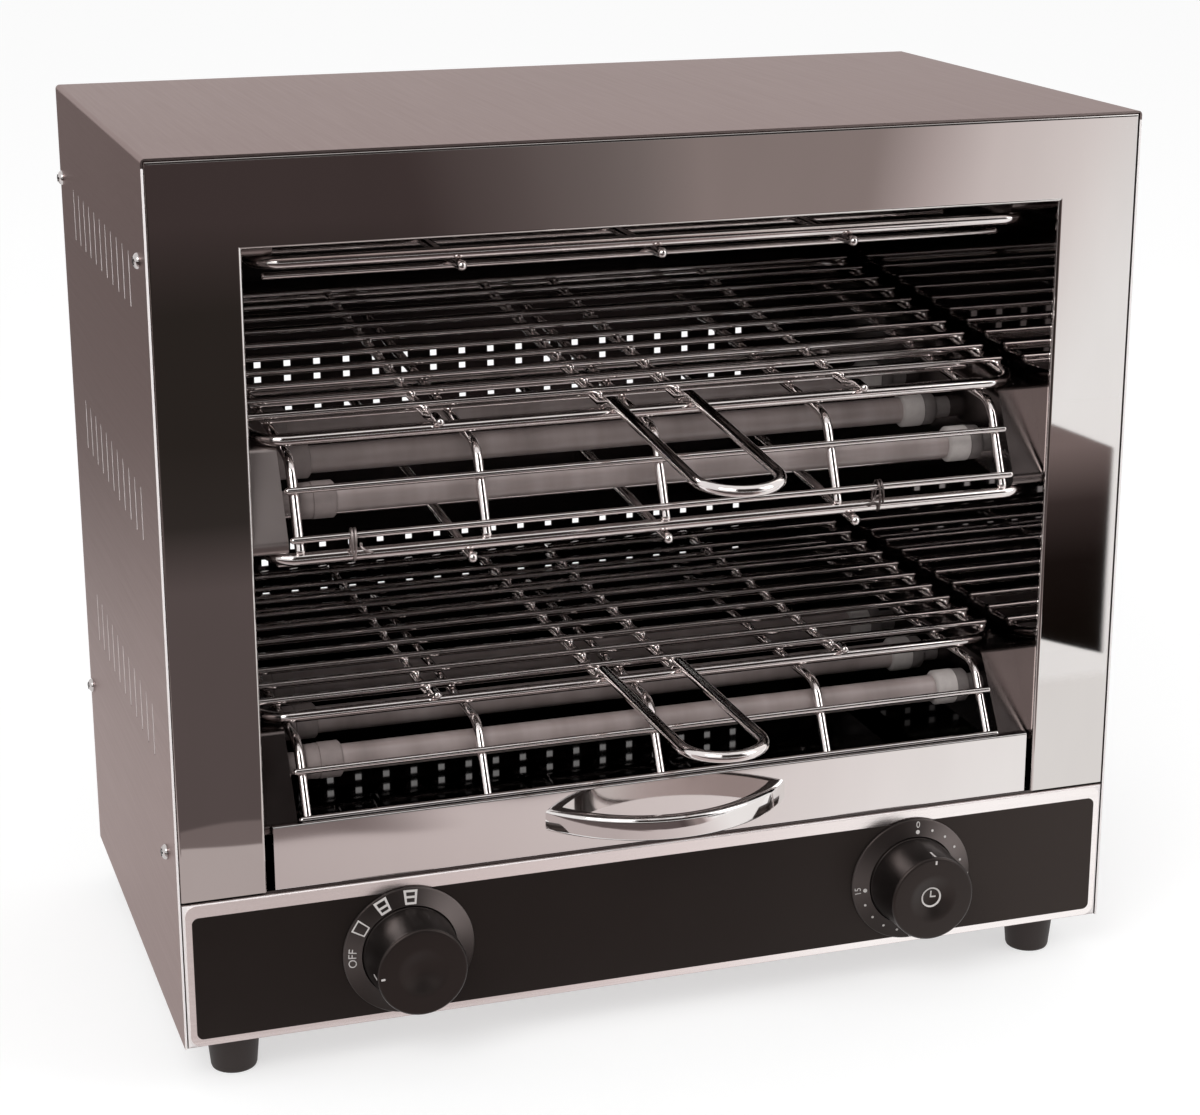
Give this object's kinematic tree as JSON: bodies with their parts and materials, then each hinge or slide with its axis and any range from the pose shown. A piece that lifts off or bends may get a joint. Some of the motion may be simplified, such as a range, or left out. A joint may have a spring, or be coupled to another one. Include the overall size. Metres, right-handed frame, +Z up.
{
  "type": "two-deck grill toaster",
  "caption": "Counter-top two-deck quartz grill toaster: open steel box with pull-out wire racks, guarded tubes, crumb tray, selector and timer dials.",
  "frame": {"origin": "on the counter, under the middle of the whole object's box", "axes": "+X to the right seen from the front, +Y to the back, +Z up; the handles and dials face -Y"},
  "size_m": [0.4552, 0.3697, 0.415],
  "materials": {
    "satin_steel": "satin stainless sheet",
    "polished_steel": "mirror polished stainless sheet",
    "bright_wire": "bright plated round wire",
    "frosted_quartz": "frosted quartz",
    "ceramic": "unglazed ceramic, grey white",
    "black_film": "fine grained black film",
    "black_plastic": "moulded black plastic",
    "black_rubber": "matt rubber",
    "screw_steel": "plain bright steel"
  },
  "bodies": {
    "body": {"back_panel": "satin_steel", "back_screws": "screw_steel", "base_plate": "satin_steel", "cable_gland": "black_plastic", "casing_screws": "screw_steel", "cavity_floor": "polished_steel", "cavity_roof": "polished_steel", "ceramic_caps_lower": "ceramic", "ceramic_caps_middle": "ceramic", "ceramic_caps_top": "ceramic", "control_panel": "satin_steel", "foot_back_left": "black_rubber", "foot_back_right": "black_rubber", "foot_front_left": "black_rubber", "foot_front_right": "black_rubber", "foot_screws": "screw_steel", "front_frame": "polished_steel", "guard_grid_lower": "bright_wire", "guard_grid_middle": "bright_wire", "guard_ties": "bright_wire", "heater_bracket_lower_left": "satin_steel", "heater_bracket_lower_right": "satin_steel", "heater_bracket_middle_left": "satin_steel", "heater_bracket_middle_right": "satin_steel", "heater_bracket_top_left": "satin_steel", "heater_bracket_top_right": "satin_steel", "heating_coils": "screw_steel", "inner_wall_left": "polished_steel", "inner_wall_right": "polished_steel", "outer_casing": "satin_steel", "panel_film": "black_film", "panel_label": "satin_steel", "quartz_tube_lower_1": "frosted_quartz", "quartz_tube_lower_2": "frosted_quartz", "quartz_tube_lower_3": "frosted_quartz", "quartz_tube_middle_1": "frosted_quartz", "quartz_tube_middle_2": "frosted_quartz", "quartz_tube_middle_3": "frosted_quartz", "quartz_tube_top_1": "frosted_quartz", "quartz_tube_top_2": "frosted_quartz", "quartz_tube_top_3": "frosted_quartz", "selector_dial_ring": "black_plastic", "selector_switch": "black_plastic", "terminal_block": "ceramic", "timer_dial_ring": "black_plastic", "timer_unit": "black_plastic", "under_guard_middle": "bright_wire", "under_guard_top": "bright_wire"},
    "upper_rack": {"upper_rack_grid": "bright_wire", "upper_rack_handle": "bright_wire"},
    "lower_rack": {"lower_rack_grid": "bright_wire", "lower_rack_handle": "bright_wire"},
    "crumb_tray": {"crumb_tray": "polished_steel", "tray_handle": "polished_steel", "tray_handle_screws": "screw_steel"},
    "selector": {"selector_knob": "black_plastic", "selector_shaft": "screw_steel"},
    "timer": {"timer_knob": "black_plastic", "timer_shaft": "screw_steel"}
  },
  "joints": [
    {"name": "upper_rack_slide", "type": "slide", "parent": "body", "child": "upper_rack", "axis": [0, -0.9962, -0.0872], "range_m": [-0.012, 0.2]},
    {"name": "lower_rack_slide", "type": "slide", "parent": "body", "child": "lower_rack", "axis": [0, -1, 0], "range_m": [0, 0.2]},
    {"name": "crumb_tray_slide", "type": "slide", "parent": "body", "child": "crumb_tray", "axis": [0, -1, 0], "range_m": [0, 0.22]},
    {"name": "selector_turn", "type": "hinge", "parent": "body", "child": "selector", "pos_m": [-0.123, -0.0832, 0.056], "axis": [0, 1, 0], "range_deg": [0, 90]},
    {"name": "timer_turn", "type": "hinge", "parent": "body", "child": "timer", "pos_m": [0.123, -0.0832, 0.056], "axis": [0, 1, 0], "range_deg": [0, 270]}
  ]
}
